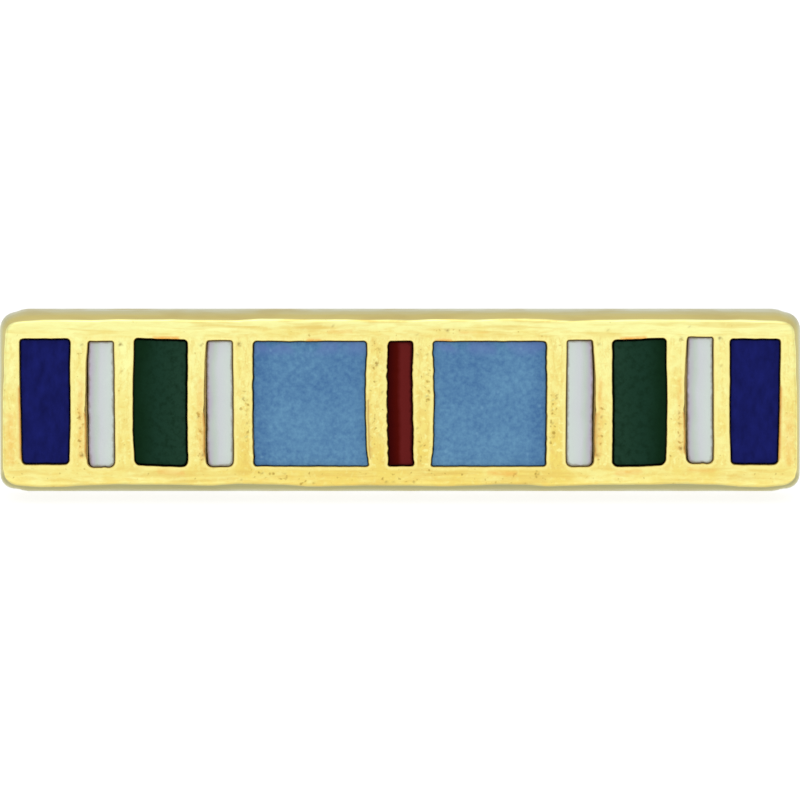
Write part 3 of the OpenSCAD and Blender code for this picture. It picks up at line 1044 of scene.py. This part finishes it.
def sky_mottle(add, place):
    """Sky blue, mottled in blots of about 0.1 mm, with tiny lighter specks of undissolved frit."""
    blots = add("TexNoise", {"Vector": place, "Scale": 10.0, "Detail": 3.0, "Roughness": 0.6})
    drift = add("TexNoise", {"Vector": place, "Scale": 0.8, "Detail": 1.0})
    both = add("Math", {0: blots, 1: 2.0, 2: drift}, operation="MULTIPLY_ADD")
    # It is darker over the 0.4 mm along its first side, a painted shade from the cell's wall, and a little
    # darker upwards
    across = add("Attribute", attribute_name="across")
    thicker = add("MapRange", {
        "Value": across, "From Min": 0.10, "From Max": 0.19, "To Min": -0.38, "To Max": 0.0})
    at = add("SeparateXYZ", {0: place})
    climbing = add("Math", {0: at.outputs["Y"], 1: -0.06, 2: thicker}, operation="MULTIPLY_ADD")
    milky = add("Math", {0: both, 1: climbing}, operation="ADD")
    share = add("MapRange", {"Value": milky, "From Min": 0.9, "From Max": 2.0})
    base = add("Mix", {"Factor": share, "A": "#4872A0", "B": "#6594B7"}, data_type="RGBA")
    # A violet bloom along the upper edge, about 0.15 mm deep and broken into patches of 0.5 mm
    upper = add("MapRange", {"Value": at.outputs["Y"], "From Min": 0.95, "From Max": 1.15, "To Max": 0.5})
    patches = add("TexNoise", {"Vector": place, "Scale": 2.0, "Detail": 1.0})
    patch = add("MapRange", {"Value": patches, "From Min": 0.45, "From Max": 0.6})
    bloom = add("Math", {0: upper, 1: patch}, operation="MULTIPLY")
    bloomed = add("Mix", {"Factor": bloom, "A": base, "B": "#667DB6"}, data_type="RGBA")
    # Specks of frit, about 0.1 mm across and 0.4 mm apart
    specks = add("TexVoronoi", {"Vector": place, "Scale": 2.6})
    speck = add("MapRange", {
        "Value": specks, "From Min": 0.04, "From Max": 0.13, "To Min": 0.3, "To Max": 0.0})
    return add("Mix", {"Factor": speck, "A": bloomed, "B": "#86B4D2"}, data_type="RGBA")


def red_depth(add, place):
    """Blood red: clear and darker over its left half, a painted shade from the cell's wall, and milkier over
    the right.
    """
    return banded(add, place, 0.18, [(0.1, "#3C0504"), (0.38, "#4D0A04"), (0.55, "#651D1C")])


ENAMELS = {
    "navy": opaque_enamel("enamel_navy_satin", navy_clouds, "#0A0B34", 0.06, 0.06),
    "white": opaque_enamel("enamel_white_satin", white_bloom, "#84785F", 0.13, 0.12),
    "green": opaque_enamel("enamel_green_satin", green_depth, "#0B1C0C", 0.03, 0.06),
    "sky": opaque_enamel("enamel_sky_satin", sky_mottle, "#35557C", 0.05, 0.04),
    "red": opaque_enamel("enamel_red_satin", red_depth, "#260303", 0.05, 0.16),
}


# Studio


def light_tent():
    """A white tent round the pin: dimmer behind and at both sides, with an opening for the lens."""
    world = bpy.data.worlds.new("light_tent")
    bpy.context.scene.world = world
    add = partial(add_node, empty_tree(world))
    direction = add("TexCoord").outputs["Generated"]
    at = add("SeparateXYZ", {0: direction})
    behind = add("MapRange", {
        "Value": at.outputs["Y"], "From Max": 0.9, "To Min": 1.0, "To Max": 0.8},
        interpolation_type="SMOOTHSTEP")
    sideways = add("Math", {0: at.outputs["X"]}, operation="ABSOLUTE")
    beside = add("MapRange", {
        "Value": sideways, "From Min": 0.3, "From Max": 0.9, "To Min": 1.0, "To Max": 0.75},
        interpolation_type="SMOOTHSTEP")
    # The opening lies where the face mirrors the lens. It is darkest within 4 degrees and ends at 22.
    mirrored = math.radians(math.degrees(lean) - CAMERA_ABOVE_NORMAL)
    lens_way = (0, -math.cos(mirrored), math.sin(mirrored))
    towards_lens = add("VectorMath", {0: direction, 1: lens_way}, operation="DOT_PRODUCT")
    edge, middle = (math.cos(math.radians(angle)) for angle in (22, 4))
    opening = add("MapRange", {
        "Value": towards_lens.outputs["Value"], "From Min": edge, "From Max": middle, "To Min": 1.0,
        "To Max": 0.95}, interpolation_type="SMOOTHSTEP")
    light = add("Math", {0: beside, 1: behind}, operation="MULTIPLY")
    light = add("Math", {0: light, 1: opening}, operation="MULTIPLY")
    glow = add("Background", {"Color": (1, 1, 1, 1), "Strength": light})
    add("OutputWorld", {"Surface": glow})


def light_table():
    """The floor: a sheet of white acrylic, lit softly from below so that it carries hardly a shadow."""
    bpy.ops.mesh.primitive_plane_add(size=4)
    table = named("light_table")
    acrylic = bpy.data.materials.new("acrylic_white_lit")
    empty_tree(acrylic)
    table.data.materials.append(coated(acrylic, {
        "Base Color": (0.25, 0.25, 0.25, 1), "Roughness": 0.6, "Specular IOR Level": 0.2,
        "Emission Color": (1, 1, 1, 1), "Emission Strength": 0.83}))


def place_camera():
    up_the_normal = math.radians(CAMERA_ABOVE_NORMAL)
    aim = Vector((0, AIM_ABOVE_MIDDLE, BAR_THICKNESS))
    eye = aim + CAMERA_DISTANCE * Vector((0, math.sin(up_the_normal), math.cos(up_the_normal)))
    lens = bpy.data.cameras.new("camera")
    lens.sensor_width = SENSOR_WIDTH
    lens.lens = SENSOR_WIDTH * (CAMERA_DISTANCE + BAR_THICKNESS) / VIEW_WIDTH
    lens.clip_start = 0.001
    camera = bpy.data.objects.new("camera", lens)
    bpy.context.scene.collection.objects.link(camera)
    camera.location = at_rest @ eye
    camera.rotation_euler = (at_rest @ aim - at_rest @ eye).to_track_quat("-Z", "Y").to_euler()
    bpy.context.scene.camera = camera


def soft_box(name, place, size, power):
    """A square lamp with a soft front, turned to the pin. Place and size are in millimetres."""
    lamp = bpy.data.lights.new(name, "AREA")
    lamp.size = size * MM
    lamp.energy = power
    box = bpy.data.objects.new(name, lamp)
    bpy.context.scene.collection.objects.link(box)
    box.location = Vector(place) * MM
    box.rotation_euler = (-box.location).to_track_quat("-Z", "Y").to_euler()


bpy.ops.object.select_all(action="DESELECT")
bar = make_bar()
stand_at_rest(bar, "bar_and_post")
post = make_post()
stand_at_rest(post, "bar_and_post")
for cell in cells:
    make_fill(cell)

light_tent()
light_table()
soft_box("soft_box_above", (-20, -60, 260), 160, 0.07)
place_camera()
bpy.context.scene.view_settings.view_transform = "Standard"
